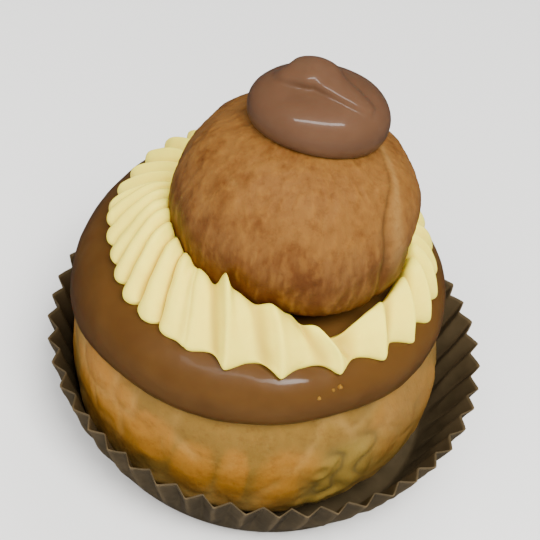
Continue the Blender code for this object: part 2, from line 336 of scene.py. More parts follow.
def seat(points, node):
    """Moves points, and stretches them slightly, so that they fill a solid's box."""
    low, high = (np.array(corner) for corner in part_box(node))
    flat = points.reshape(-1, 3)
    own_low = flat.min(axis=0)
    own_high = flat.max(axis=0)
    return low + (points - own_low) / (own_high - own_low) * (high - low)


def pastry_axis():
    """Where the large chou's icing is centred, in millimetres."""
    low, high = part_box("base_icing")
    return np.array((low.x + high.x, low.y + high.y, 0.0)) * 0.5 / MM


def skin(name, grid, closed_loop=False):
    """A closed mesh over a grid of rows by steps: poles close it, or it runs on to its start."""
    rows, steps = grid.shape[:2]
    number = np.arange(rows * steps).reshape(rows, steps)
    beside = np.roll(number, -1, axis=1)
    faces = np.stack((number, np.roll(number, -1, axis=0), np.roll(beside, -1, axis=0), beside), axis=-1)
    faces = (faces if closed_loop else faces[:-1]).reshape(-1, 4).tolist()
    points = grid.reshape(-1, 3).tolist()
    for row in () if closed_loop else (0, rows - 1):
        pole = len(points)
        points.append(grid[row].mean(axis=0).tolist())
        for first, second in zip(number[row].tolist(), beside[row].tolist()):
            faces.append((pole, second, first) if row else (pole, first, second))
    mesh = bpy.data.meshes.new(name)
    mesh.from_pydata(points, [], faces)
    return mesh


def mark(mesh, name, values):
    """Keeps a number or a vector for each point; a pole takes the mean of its row."""
    values = np.asarray(values, dtype=np.float32)
    width, kind, field = (3, "FLOAT_VECTOR", "vector") if values.ndim == 3 else (1, "FLOAT", "value")
    flat = values.reshape(-1, width)
    poles = len(mesh.vertices) - len(flat)
    means = [values[row].reshape(-1, width).mean(axis=0) for row in (0, -1)]
    flat = np.concatenate((flat, np.array(means[2 - poles:]).reshape(-1, width)))
    mesh.attributes.new(name, kind, "POINT").data.foreach_set(field, flat.ravel())


def bun_skin(name, node, bun, fineness, swell):
    """A bun's skin, seated in a solid's box, and each point's angle, height and share of the height."""
    rows, steps = fineness
    radius, height = bun.outline(rows)
    azimuth, height = np.broadcast_arrays(around(steps), height[:, None])
    share = (height - bun.low) / (bun.top - bun.low)
    grid = spin(azimuth, radius[:, None] * (1.0 + swell(azimuth, share)), height)
    return skin(name, seat(grid, node)), azimuth, height, share


# ---------------------------------------------------------------- shared shader groups

def upright_place(tree, factor):
    """The place on the piece with its height multiplied, so that a pattern runs up and down."""
    place = add_node(tree, "ShaderNodeTexCoord").outputs["Object"]
    parts = add_node(tree, "ShaderNodeSeparateXYZ", {"Vector": place}).outputs
    return add_node(tree, "ShaderNodeCombineXYZ", {
        "X": parts["X"], "Y": parts["Y"], "Z": Wire(tree, parts["Z"]) * factor}).outputs[0]


def mix_colours(tree, share, first, second, blend="MIX"):
    node = add_node(tree, "ShaderNodeMix", {0: share, 6: first, 7: second}, data_type="RGBA", blend_type=blend)
    return node.outputs[2]


def tone_group():
    """Two colours mixed by soft noise of two sizes, as food browns unevenly."""
    tree, value, leave = new_tree("uneven tone", "ShaderNodeTree", {
        "Pale": (0.8, 0.6, 0.4), "Deep": (0.4, 0.2, 0.1), "Patch Size": 0.01, "Bias": 0.0,
        "Contrast": 1.0, "Upright": 1.0, "Shift": 0.0}, {"Colour": "Color", "Mask": "Float"})
    moved = add_node(tree, "ShaderNodeVectorMath", {
        0: upright_place(tree, value["Upright"]), 1: value["Shift"]}, operation="ADD").outputs[0]
    broad = noise(tree, moved, value["Patch Size"], 3.0)
    fine = noise(tree, moved, value["Patch Size"] * 0.22, 3.0, 1.3)
    mixed = (broad - 0.5) * 1.5 + (fine - 0.5) * 0.7
    mask = (mixed * value["Contrast"] + 0.5 + value["Bias"]).eased(0.0, 1.0)
    plug(tree, mix_colours(tree, mask, value["Pale"], value["Deep"]), leave.inputs["Colour"])
    plug(tree, mask, leave.inputs["Mask"])
    return tree


def grain_group():
    """The finest relief of a surface, as the height of a Bump node: pores and specks."""
    tree, value, leave = new_tree("fine grain", "ShaderNodeTree", {
        "Size": 0.0008, "Upright": 1.0}, {"Height": "Float"})
    place = upright_place(tree, value["Upright"])
    coarse = noise(tree, place, value["Size"] * 2.6, 3.0)
    fine = noise(tree, place, value["Size"], 2.0, 0.7)
    plug(tree, coarse * 0.65 + fine * 0.35, leave.inputs["Height"])
    return tree


# ---------------------------------------------------------------- finishes

def carried(tree, name):
    """A named number that the mesh carries, read in a material."""
    return Wire(tree, add_node(tree, "ShaderNodeAttribute", attribute_name=name).outputs["Fac"])


def toned(tree, tone, **values):
    """The uneven-tone group with its own values: its colour, and its mask as a wire."""
    entries = {name.replace("_", " "): value for name, value in values.items()}
    node = add_node(tree, "ShaderNodeGroup", entries, node_tree=tone)
    return node.outputs["Colour"], Wire(tree, node.outputs["Mask"])


def new_material(name):
    """A material with its tree and its Principled BSDF."""
    material = bpy.data.materials.new(name)
    material.use_nodes = True
    return material, material.node_tree, material.node_tree.nodes["Principled BSDF"]


def surface(tree, shader, colour, roughness, grain, pores, strength, distance, **gloss):
    """Plugs in a finish: its colour, roughness and fine bump, and gloss that is the same all over."""
    plug(tree, colour, shader.inputs["Base Color"])
    plug(tree, roughness, shader.inputs["Roughness"])
    fine = add_node(tree, "ShaderNodeGroup", pores, node_tree=grain)
    raised = add_node(tree, "ShaderNodeBump", {
        "Strength": strength, "Distance": distance, "Height": fine.outputs["Height"]})
    plug(tree, raised.outputs["Normal"], shader.inputs["Normal"])
    for name, value in gloss.items():
        shader.inputs[name.replace("_", " ")].default_value = value


def crust_finish(name, tone, grain, colours, patch, contrast, upright, plates, streaks):
    """Baked choux crust: browned plates, paler splits and streaks, a damp greyish patch, and painted shade."""
    material, tree, shader = new_material(name)
    # The browning mark holds browning, and on the small chou painted shade as well.
    bias = carried(tree, "browning_and_shade") + (carried(tree, "plate") - 0.5) * plates
    colour, _ = toned(tree, tone, Pale=colours["golden"], Deep=colours["browned"], Patch_Size=patch,
                      Bias=bias, Contrast=contrast, Upright=upright, Shift=0.05)
    colour = mix_colours(tree, carried(tree, "split"), colour, colours["split"])
    colour = mix_colours(tree, carried(tree, "streak") * streaks, colour, colours["streak"])
    # Paler along the small chou's seam, and toward the large chou's foot, where it is partly the crust's own
    # paler bottom and partly painted light.
    colour = mix_colours(tree, carried(tree, "seam"), colour, colours["split"])
    specks, _ = toned(tree, tone, Pale=(1.0, 1.0, 1.0), Deep=(0.62, 0.52, 0.42), Patch_Size=0.0016,
                      Bias=-0.35, Contrast=1.6, Shift=0.4)
    colour = mix_colours(tree, 0.6, colour, specks, "MULTIPLY")
    colour = mix_colours(tree, carried(tree, "damp"), colour, colours["damp"])
    # Darker along the damp patch's creases, and painted shade where the shadow mark lies, both toward the
    # crease colour.
    shadow = carried(tree, "crease") + carried(tree, "shadow")
    colour = mix_colours(tree, shadow, colour, colours["crease"])
    surface(tree, shader, colour, carried(tree, "damp") * -0.2 + 0.58, grain,
            {"Size": 0.0007, "Upright": 0.55}, 0.4, 0.0004,
            Subsurface_Weight=0.06, Subsurface_Scale=0.002, Specular_IOR_Level=0.2)
    return material


def icing_finish(name, tone, grain, pale, deep):
    """Coffee fondant: smooth, satin-glossy and slightly mottled, with painted shade along its lower edge."""
    material, tree, shader = new_material(name)
    colour, mask = toned(tree, tone, Pale=pale, Deep=deep, Patch_Size=0.012,
                         Bias=carried(tree, "thin") * -0.4, Contrast=0.8, Shift=0.11)
    # Painted shade: a darker red-brown where the icing turns under at its lower edge.
    underside_shade_colour = (0.62 * deep[0], 0.62 * deep[1], 0.5 * deep[2])
    colour = mix_colours(tree, carried(tree, "edge"), colour, underside_shade_colour)
    surface(tree, shader, colour, mask * 0.08 + 0.34, grain, {"Size": 0.0012}, 0.10, 0.0003,
            Subsurface_Weight=0.10, Subsurface_Scale=0.0025, Coat_Roughness=0.08, Specular_IOR_Level=0.2)
    plug(tree, carried(tree, "wet") * 0.55 + 0.05, shader.inputs["Coat Weight"])
    return material


def cream_finish(tone, grain):
    """Soft butter cream: pale yellow, with painted shade, darker and warmer, in its grooves."""
    material, tree, shader = new_material("butter_cream")
    colour, mask = toned(tree, tone, Pale=(0.95, 0.79, 0.085), Deep=(0.87, 0.69, 0.060),
                         Patch_Size=0.006, Contrast=0.7, Shift=0.2)
    # Painted shade: darker, warmer cream down in the valleys between the lobes.
    colour = mix_colours(tree, carried(tree, "groove_shade"), colour, (0.55, 0.37, 0.030))
    surface(tree, shader, colour, mask * 0.1 + 0.42, grain, {"Size": 0.0009}, 0.18, 0.0003,
            Subsurface_Weight=0.35, Subsurface_Scale=0.003, Subsurface_Radius=(1.0, 0.7, 0.4),
            Specular_IOR_Level=0.4)
    return material


def paper_finish(tone, grain):
    """Dark brown glassine: thin, a little glossy, and paler along its folds."""
    material, tree, shader = new_material("case_glassine")
    colour, mask = toned(tree, tone, Pale=(0.066, 0.047, 0.024), Deep=(0.040, 0.029, 0.014),
                         Patch_Size=0.009, Contrast=0.9, Shift=0.3)
    colour = mix_colours(tree, carried(tree, "fold"), colour, (0.085, 0.060, 0.030))
    surface(tree, shader, colour, mask * 0.12 + 0.40, grain, {"Size": 0.0006}, 0.15, 0.0002,
            Specular_IOR_Level=0.2)
    return material


# ---------------------------------------------------------------- the choux

def crust_tree():
    """Geometry Nodes: lumps, puffed plates parted by splits, upright streaks and creases."""
    tree, value, leave, place = shape_tree("baked crust", {
        "Lump Size": 0.012, "Lump Height": 0.0005, "Plate Width": 0.009, "Plate Puff": 0.0004,
        "Split Width": 0.16, "Split Depth": 0.0005, "Split Share": 0.5, "Streak Height": 0.00012,
        "Grain Height": 0.00006, "Crease Height": 0.0005})
    damp = kept(tree, "damp")
    lumps = noise(tree, place, value["Lump Size"], 1.5) - 0.5

    swirl = add_node(tree, "ShaderNodeTexNoise", {"Vector": place, "Scale": 130.0, "Detail": 3.0})
    wander = add_node(tree, "ShaderNodeVectorMath", {
        0: swirl.outputs["Color"], 1: (0.0045, 0.0045, 0.0045), 2: place}, operation="MULTIPLY_ADD").outputs[0]
    cells = add_node(tree, "ShaderNodeTexVoronoi", {
        "Vector": stretched(tree, wander, 1.0, 1.0, 0.72), "Scale": value["Plate Width"] ** -1.0,
        "Randomness": 0.9}, feature="DISTANCE_TO_EDGE")
    edge = Wire(tree, cells.outputs["Distance"])
    opened = noise(tree, place, 0.011, 1.0, 0.4)
    opened = (opened + value["Split Share"] - 0.5).eased(0.42, 0.58)
    split = edge.eased(0.0, value["Split Width"]).flipped() * opened
    puff = edge.eased(0.0, 0.4) * value["Plate Puff"]
    streak = noise(tree, stretched(tree, wander, 1.0, 1.0, 0.20), 0.0012, 2.0, 0.9)
    folds = noise(tree, stretched(tree, place, 1.0, 1.0, 0.8), 0.0095, 1.0, 0.6) * 4.0
    crease = folds.math("PINGPONG", 0.5) * 2.0

    relief = lumps * value["Lump Height"] + puff - split * value["Split Depth"]
    relief = relief + (streak - 0.5) * value["Streak Height"] * 2.0
    relief = relief + sway(tree, place, 0.0008, value["Grain Height"], 2.0, 0.2)
    relief = relief + (crease - 0.5) * damp * value["Crease Height"]
    geometry = push(tree, value["Geometry"], relief)
    geometry = store(tree, geometry, "split", split * 0.22)
    geometry = store(tree, geometry, "plate", edge.eased(0.02, 0.34))
    geometry = store(tree, geometry, "streak", streak.eased(0.45, 0.75))
    geometry = store(tree, geometry, "crease", crease.eased(0.0, 0.30).flipped() * damp * 0.75)
    return close_tree(tree, geometry, value["Material"], leave)


def base_swell(azimuth, share):
    """How much the large chou departs from round: oval, drawn in at the left, full at the right."""
    lumps = 0.010 * wave(azimuth, 2, 20.0) + 0.009 * wave(azimuth, 5, -78.0) * (1.0 - share)
    drawn_in = 0.10 * bump(azimuth, 180.0, 60.0) * np.clip(0.7 - share, 0.0, None)
    belly = np.clip(1.0 - ((share - 0.40) / 0.45) ** 2, 0.0, None)
    fuller = (0.09 * bump(azimuth, -12.0, 32.0) + 0.035 * bump(azimuth, -45.0, 40.0)) * belly
    return lumps - drawn_in + fuller


# The browned plates in front: the angle and height of the middle, and half its width and height
PLATES = ((-133.0, 20.0, 16.0, 10.0), (-112.0, 21.5, 7.5, 5.8), (-97.0, 17.5, 6.6, 7.2),
          (-85.0, 16.5, 4.4, 8.8), (-67.5, 15.5, 9.6, 10.4), (-29.0, 26.0, 12.5, 9.0))


def plate_browning(azimuth, height):
    """How brown the crust is, from 0 to 1: listed plates in front and scattered ones behind."""
    chance = np.random.default_rng(4)
    plates = list(PLATES)
    for place in np.arange(-15.0, 205.0, 15.0):
        plates.append((place, 19.0 + chance.uniform(-3.0, 3.0), *chance.uniform(5.0, 9.0, 2)))
    brown = np.zeros_like(height)
    for middle, level, wide, tall in plates:
        away = np.abs(angle_between(azimuth, middle) / wide) ** 2.6 + np.abs((height - level) / tall) ** 2.6
        brown = np.maximum(brown, 1.0 - eased(away, 0.1, 2.3))
    return brown


def make_base_crust(tree, material):
    """The large chou's crust, with browned plates, a pale foot that is partly painted light, painted shade at
    the right and a damp patch at the front right.
    """
    mesh, azimuth, height, _ = bun_skin("base_crust", "base_chou", BASE, CRUST_GRID, base_swell)
    damp = bump(azimuth, -51.0 + 0.35 * (height - 18.0), 9.5) * eased(height, 3.0, 9.0)
    damp = damp * (1.0 - eased(height, 24.0, 29.0))
    plates = plate_browning(azimuth, height)
    mark(mesh, "damp", np.clip(damp * 1.3, 0.0, 1.0))
    mark(mesh, "browning_and_shade", 1.1 * plates - 0.55)
    # Paler toward the foot: partly the crust's own paler bottom, partly painted light from below.
    mark(mesh, "seam", 0.85 * (1.0 - eased(height, 7.0, 16.0)) * (1.0 - 0.55 * plates))
    # Painted shade: the crust darker on its right side.
    mark(mesh, "shadow", 0.52 * bump(azimuth, -25.0, 20.0) * eased(height, 8.0, 18.0))
    return run_tree(add_object(mesh), tree, material, {
        "Lump Size": 0.013, "Lump Height": 0.0010, "Plate Width": 0.0090, "Plate Puff": 0.0003,
        "Split Width": 0.16, "Split Depth": 0.00016, "Split Share": 0.50,
        "Streak Height": 0.00010, "Grain Height": 0.00009, "Crease Height": 0.0009})


def seam_angle(share):
    """Where the pale seam beside the cleft runs on its way down the small chou."""
    return -29.5 + 27.0 * np.clip((share - 0.60) / 0.27, 0.0, 1.3) ** 3


def head_swell(azimuth, share):
    """The small chou has soft lumps, and a cleft beside a lobe that hangs over a crease."""
    lumps = 0.014 * wave(azimuth, 3, -150.0) + 0.008 * wave(azimuth, 7, -70.0)
    middle = np.sin(math.pi * np.clip(share, 0.0, 1.0))
    cleft = 0.040 * bump(azimuth, seam_angle(share) - 7.0, 3.4) * middle
    lobe = 0.055 * bump(azimuth, 3.0, 24.0) * np.exp(-((share - 0.70) / 0.20) ** 2)
    crease = 0.05 * bump(azimuth, 8.0, 22.0) * np.exp(-((share - 0.37) / 0.08) ** 2)
    return lumps - cleft + lobe - crease


def make_head_crust(tree, material):
    """The small chou's crust, golden above and darker low down, partly browning and partly painted shade, with
    fine upright streaks, painted shade at its left and a painted shadow in its cleft.
    """
    mesh, azimuth, height, share = bun_skin("head_crust", "head_chou", HEAD, HEAD_GRID, head_swell)
    # Darker low down: partly deeper browning, partly painted shade.
    low_down = 1.0 - eased(share, 0.20, 0.72)
    # Painted shade: darker on the left side and lighter on the right, as the light falls.
    shaded = 0.16 * bump(azimuth, -150.0, 50.0) - 0.12 * bump(azimuth, -20.0, 25.0) * share
    reach = eased(share, 0.25, 0.5) * (1.0 - eased(share, 0.88, 0.97))
    mark(mesh, "damp", np.zeros_like(height))
    mark(mesh, "browning_and_shade", 1.05 * low_down - 0.30 + shaded)
    mark(mesh, "seam", 0.55 * bump(azimuth, seam_angle(share), 3.6) * reach)
    # Painted shadow down the cleft beside the seam.
    mark(mesh, "shadow", 0.45 * bump(azimuth, seam_angle(share) - 8.0, 2.0) * reach)
    return run_tree(add_object(mesh), tree, material, {
        "Lump Size": 0.010, "Lump Height": 0.0011, "Plate Width": 0.0075, "Plate Puff": 0.00015,
        "Split Width": 0.12, "Split Depth": 0.0001, "Split Share": 0.30,
        "Streak Height": 0.00024, "Grain Height": 0.00009, "Crease Height": 0.0})


# ---------------------------------------------------------------- the icing

def ripple_tree():
    """Geometry Nodes: the slow ripples of icing that has run and set."""
    tree, value, leave, place = shape_tree("set icing", {
        "Ripple Size": 0.012, "Ripple Height": 0.0003, "Dimple Height": 0.00004})
    relief = sway(tree, place, value["Ripple Size"], value["Ripple Height"], 0.5, 0.8)
    relief = relief + sway(tree, place, 0.0030, value["Dimple Height"], 0.0, 0.1)
    return close_tree(tree, push(tree, value["Geometry"], relief), value["Material"], leave)


def lip_height(azimuth):
    """The lower edge of the large chou's icing, which sags at the left."""
    sag = 5.0 * bump(azimuth, -168.0, 34.0)
    return 32.2 - sag + 0.9 * wave(azimuth, 1, -40.0) + 0.6 * wave(azimuth, 4, 30.0)


def glaze_section(azimuth, rows):
    """One radial cut of the large chou's icing: over the dome, round the lip and back inside."""
    lip = lip_height(azimuth)
    bead = 3.6 + 0.35 * wave(azimuth, 3, -120.0)
    coat = Bun(34.2, lip, lip + bead, 46.4, 2.0, 2.7)
    swell = 1.0 + base_swell(azimuth, (lip + bead - BASE.low) / (BASE.top - BASE.low))
    over_radius, over_height = coat.outline(rows, 0.0)
    inside = BASE.reach(lip + 1.2) - 0.7
    turn = np.radians(np.linspace(0.0, 150.0, rows // 3))
    under_radius = inside + (over_radius[-1] - inside) * (0.42 + 0.58 * np.cos(turn))
    under_height = lip + bead * (1.0 - np.sin(turn))
    back_height = np.linspace(under_height[-1], BASE.top - 0.8, 10)[1:]
    back_radius = BASE.reach(back_height) - 0.9
    radius = np.concatenate((over_radius, under_radius, back_radius))
    return radius * swell, np.concatenate((over_height, under_height, back_height))


def make_base_glaze(tree, material):
    """The large chou's icing, with its thick rounded lip."""
    rows, steps = GLAZE_GRID
    cuts = [glaze_section(angle, rows) for angle in around(steps)]
    radius, height = (np.stack(part, axis=1) for part in zip(*cuts))
    azimuth = np.broadcast_to(around(steps), radius.shape)
    mesh = skin("base_glaze", seat(spin(azimuth, radius, height), "base_icing"))
    mark(mesh, "thin", bump(azimuth, -30.0, 45.0) * eased(height, 34.0, 44.0))
    mark(mesh, "wet", bump(azimuth, -71.5, 8.0) * eased(height, 38.0, 41.0))
    # Painted shade along the underside of the icing's lip.
    mark(mesh, "edge", 0.9 * (1.0 - eased(height - lip_height(azimuth), 0.4, 3.0)))
    return run_tree(add_object(mesh), tree, material, {
        "Ripple Size": 0.015, "Ripple Height": 0.0004, "Dimple Height": 0.00009})


CAP_HALF_WIDTH = 12.05
CAP_HALF_DEPTH = 9.9
CAP_WIDEST = 75.9
CAP_TILT = 0.6
CAP_TOP = 82.2
CAP_FROM_HEAD = (0.4, 2.5)
CAP_POWER = 2.3
CAP_FOOT = 0.80
CAP_SUNK = 0.4
# The fold's middle line from the cap's middle, its half width, its crest over the dome and its thickness
FOLD = ((-8.6, 2.4, 1.0, 0.1, 0.8), (-6.3, 1.6, 2.8, 1.6, 1.5), (-3.4, 1.6, 3.6, 2.4, 1.9),
        (-0.8, 1.1, 3.6, 2.3, 1.9), (1.6, -0.7, 2.7, 1.6, 1.3), (4.8, -2.1, 2.1, 1.0, 0.9),
        (8.6, -3.0, 1.3, 0.40, 0.6))


def cap_seat(x, y):
    """The height of the cap's underside, just inside the small chou's top."""
    return HEAD.crown(np.hypot(x + CAP_FROM_HEAD[0], y + CAP_FROM_HEAD[1]) / 0.985) - CAP_SUNK


def cap_crown(x, y):
    """The height of the cap's dome, which is fuller at the right and dips in front of the fold."""
    azimuth = np.arctan2(y / CAP_HALF_DEPTH, x / CAP_HALF_WIDTH)
    widest = CAP_WIDEST - CAP_TILT * np.sin(azimuth)
    share = np.clip(np.hypot(x / CAP_HALF_WIDTH, y / CAP_HALF_DEPTH), 0.0, 1.0)
    rise = (1.0 - share ** CAP_POWER) ** (1.0 / CAP_POWER)
    dip = 0.6 * np.exp(-((x + 4.2) / 3.6) ** 2 - ((y + 3.2) / 1.8) ** 2)
    return widest + (CAP_TOP + 0.04 * x - widest) * rise - dip


def cap_dome(rows, steps):
    """The cap without its fold: a thick drop that lies on the small chou, undercut all round."""
    turn = np.radians(around(steps))[None, :]

    def rings(share):
        return share * CAP_HALF_WIDTH * np.cos(turn), share * CAP_HALF_DEPTH * np.sin(turn)

    over = rings(np.sin(np.linspace(0.0, 0.5 * math.pi, rows + 1)[1:])[:, None])
    crown = cap_crown(*over)
    bend = np.linspace(0.0, 0.5 * math.pi, 16)[1:, None]
    under = rings(CAP_FOOT + (1.0 - CAP_FOOT) * np.cos(bend))
    bead = crown[-1] - (crown[-1] - cap_seat(*under)) * np.sin(bend)
    inner = rings(np.linspace(CAP_FOOT - 0.04, 0.06, 14)[:, None])
    parts = ((*over, crown), (*under, bead), (*inner, cap_seat(*inner)))
    return np.concatenate([np.stack(part, axis=-1) for part in parts])


def fold_tube(rows, steps):
    """The folded tail: a flattened tube that tapers along its path over the cap."""
    spot = np.linspace(0.0, len(FOLD) - 1.0, rows)
    x, y, half, crest, thick = (soft_line(column, spot)[:, None] for column in np.array(FOLD).T)
    heading = np.arctan2(np.gradient(y[:, 0]), np.gradient(x[:, 0]))[:, None]
    turn = np.radians(around(steps))[None, :]
    side = half * np.cos(turn)
    up = crest - thick + thick * np.sin(turn)
    return np.stack((x - np.sin(heading) * side, y + np.cos(heading) * side, cap_crown(x, y) + up), axis=-1)


def make_head_glaze(tree, material):
    """The small chou's icing: a drop whose tail is folded over its top, melted into one skin."""
    middle = pastry_axis() + (*HEAD_FROM_AXIS, 0.0) + (*CAP_FROM_HEAD, 0.0)
    piece = add_object(skin("head_glaze", (cap_dome(60, 160) + middle) * MM))
    fold = add_object(skin("fold", ((fold_tube(70, 48) + middle) * MM)[:, ::-1]))
    with bpy.context.temp_override(active_object=piece, selected_editable_objects=[piece, fold]):
        bpy.ops.object.join()
    melt = piece.modifiers.new("melt", "REMESH")
    melt.mode = "VOXEL"
    melt.voxel_size = 0.00022
    soften(piece, 22)
    run_tree(piece, tree, material, {
        "Ripple Size": 0.008, "Ripple Height": 0.00012, "Dimple Height": 0.00003})
    height = np.array([vertex.co.z for vertex in piece.data.vertices]) / MM
    mark(piece.data, "wet", 0.4 + 0.5 * eased(height, 75.0, 78.0))
    # Painted shade round the low edge of the cap.
    mark(piece.data, "edge", 0.5 * (1.0 - eased(height, 73.6, 76.2)))
    return piece


# Where the loose crumbs lie on the large chou's icing: angle, height above the base and size
CRUMBS = ((-57.2, 41.6, 0.9), (-59.6, 41.4, 0.6), (-64.4, 40.7, 0.65))


def crumb_tree():
    """Geometry Nodes: a small lumpy crumb on every point, each turned its own way."""
    tree, value, leave, place = shape_tree("loose crumbs", {
        "Crumb Size": 0.0004, "Roughness": 0.9, "Seed": 5})
    ball = add_node(tree, "GeometryNodeMeshIcoSphere", {"Radius": value["Crumb Size"], "Subdivisions": 4})
    lumps = sway(tree, place, 0.0004, value["Crumb Size"] * value["Roughness"])
    turn = add_node(tree, "FunctionNodeRandomValue", {
        1: (6.28, 6.28, 6.28), "Seed": value["Seed"]}, data_type="FLOAT_VECTOR")
    spread = add_node(tree, "GeometryNodeInstanceOnPoints", {
        "Points": value["Geometry"], "Instance": push(tree, ball.outputs[0], lumps),
        "Rotation": turn.outputs[0], "Scale": kept(tree, "size")})
    return close_tree(tree, spread.outputs[0], value["Material"], leave)


def make_crumbs(tree, material, glaze):
    """A few crumbs of crust, pressed into the large chou's icing."""
    places = []
    for azimuth, height, _ in CRUMBS:
        outward = Vector(spin(azimuth, 1.0, 0.0))
        start = Vector(pastry_axis() * MM) + outward * 0.06 + Vector((0.0, 0.0, height * MM))
        place = glaze.ray_cast(start, -outward)[1]
        places.append(place + outward * 0.0001)
    mesh = bpy.data.meshes.new("crumbs")
    mesh.from_pydata(places, [], [])
    mark(mesh, "size", [size for _, _, size in CRUMBS])
    return run_tree(add_object(mesh), tree, material, {"Crumb Size": 0.00045, "Seed": 5})


# ---------------------------------------------------------------- the cream collar

JOIN_AT = -57.0
NOTCH_AT = -54.6
LOBE_WIDTH = 9.5
WIDE_LOBES = 10.0
WIDE_LOBES_AT = -72.0


def lobe_columns():
    """Angles and phases of the collar's columns: so many to a lobe, and lobes widest in front."""
    fine = np.linspace(JOIN_AT, JOIN_AT + 360.0, 7201)
    width = LOBE_WIDTH + WIDE_LOBES * bump(fine, WIDE_LOBES_AT, 38.0)
    phase = np.concatenate(([0.0], np.cumsum(0.05 / (0.5 * (width[1:] + width[:-1])))))
    lobes = round(phase[-1])
    phase *= lobes / phase[-1]
    columns = np.arange(lobes * LOBE_STEPS) / LOBE_STEPS
    return np.interp(columns, phase, fine), columns, lobes


def piping_tree():
    """Geometry Nodes: the lobes that a star nozzle leaves, each one lapping over the next."""
    tree, value, leave, place = shape_tree("piped lobes", {
        "Tip Length": 0.0024, "Ridge Height": 0.0022, "Lap": 0.55, "Unevenness": 0.4,
        "Seed": 3.0, "Softness": 0.0006})
    phase = kept(tree, "phase")
    roundness = kept(tree, "roundness")

    share = phase.math("FRACT")
    ahead = share + (share.flipped() - share) * kept(tree, "rightward")
    lap = (ahead ** 2.2 * (2.0 * math.pi)).math("COSINE") * 0.5 + 0.5
    cusp = (share * math.pi).math("SINE").math("ABSOLUTE").flipped()
    across = share * 2.0 - 1.0
    full = (across * across).flipped().math("MAXIMUM", 0.0) ** 0.5
    full_lap = full * (ahead.flipped() * 0.3 + 0.7)
    belly = (share * math.pi).math("SINE") * 0.12
    sharp = cusp + (lap - cusp) * value["Lap"] + belly
    ridge = sharp + (full_lap - sharp) * roundness
    tip = cusp + (full * 0.8 - cusp) * roundness
    uneven = add_node(tree, "ShaderNodeTexNoise", {
        "W": phase * 0.45 + value["Seed"], "Scale": 1.0, "Detail": 1.0}, noise_dimensions="1D")
    strength = (Wire(tree, uneven.outputs[0]) - 0.5) * value["Unevenness"] * 2.0 + 1.0
    reach = (tip - 0.4) * value["Tip Length"] * strength
    height = (ridge - 0.5) * value["Ridge Height"] * strength
    geometry = push(tree, value["Geometry"], reach, kept(tree, "outward", "FLOAT_VECTOR"))
    geometry = push(tree, geometry, height, kept(tree, "raised", "FLOAT_VECTOR"))
    # Painted shade for the valleys between the lobes, which the cream's colour reads.
    geometry = store(tree, geometry, "groove_shade", ridge.flipped().eased(0.35, 0.95) * 0.85)
    geometry = push(tree, geometry, sway(tree, place, 0.0045, value["Softness"]))
    return close_tree(tree, geometry, value["Material"], leave)


def head_side(azimuth, height):
    """How far the small chou's side is from the pastry's axis, at an angle and a height."""
    turn = np.radians(azimuth)
    return HEAD.reach(height) + HEAD_FROM_AXIS[0] * np.cos(turn) + HEAD_FROM_AXIS[1] * np.sin(turn)


def collar_corners(azimuth):
    """The collar's cut at each angle, with how far its lobes push each corner out and up."""
    climbing = eased(azimuth, -195.0, -150.0) * (1.0 - eased(azimuth, -80.0, -66.0))
    notch = bump(azimuth, NOTCH_AT, np.where(azimuth < NOTCH_AT, 3.0, 7.0))
    crest_height = 50.4 + 3.6 * climbing + 0.6 * bump(azimuth, -15.0, 20.0)
    beside_head = head_side(azimuth, crest_height - 1.0) - 0.3
    crest_height = crest_height - 2.7 * notch
    opened = eased(azimuth, -66.0, -58.0) * (1.0 - eased(azimuth, -20.0, 12.0))
    crest = beside_head + opened * (2.1 - 0.7 * eased(azimuth, -45.0, -18.0)) + 0.5 * notch
    crest_height = crest_height + 2.8 * bump(azimuth, -94.3, 1.9)
    outer = 29.3 - 1.5 * bump(azimuth, -165.0, 50.0) + 1.6 * bump(azimuth, -20.0, 32.0)
    lip = lip_height(azimuth)

    def coat(radius):
        share = np.clip(radius / 34.2, 0.0, 1.0) ** 2.7
        return lip + 3.6 + (42.8 - lip) * (1.0 - share) ** (1.0 / 2.7)

    wide = outer - crest
    foot = 0.5 * (crest + outer)
    corners = (
        (outer - 2.4, coat(outer - 2.4) - 0.4, 0.5, 0.0, 1.0),
        (foot, coat(foot) - 0.9, 0.0, 0.0, 0.5),
        (crest - 0.9, coat(crest) - 0.3, 0.0, 0.0, 0.0),
        (crest - 0.3, crest_height - 2.2, 0.0, 0.25, 0.0),
        (crest + 0.7, crest_height, 0.05, 0.55, 0.1),
        (crest + 0.38 * wide, crest_height - 0.9, 0.3, 0.9, 0.4),
        (crest + 0.70 * wide, 0.42 * crest_height + 0.58 * (coat(outer) + 2.4), 0.7, 1.0, 0.75),
        (outer - 0.5, coat(outer) + 2.5, 0.95, 0.5, 0.97),
        (outer, coat(outer) + 1.3, 1.0, -0.2, 1.0),
        (outer - 1.0, coat(outer) + 0.2, 0.8, -0.2, 1.0))
    return np.stack([np.stack(np.broadcast_arrays(*corner, azimuth)[:5], axis=-1) for corner in corners])


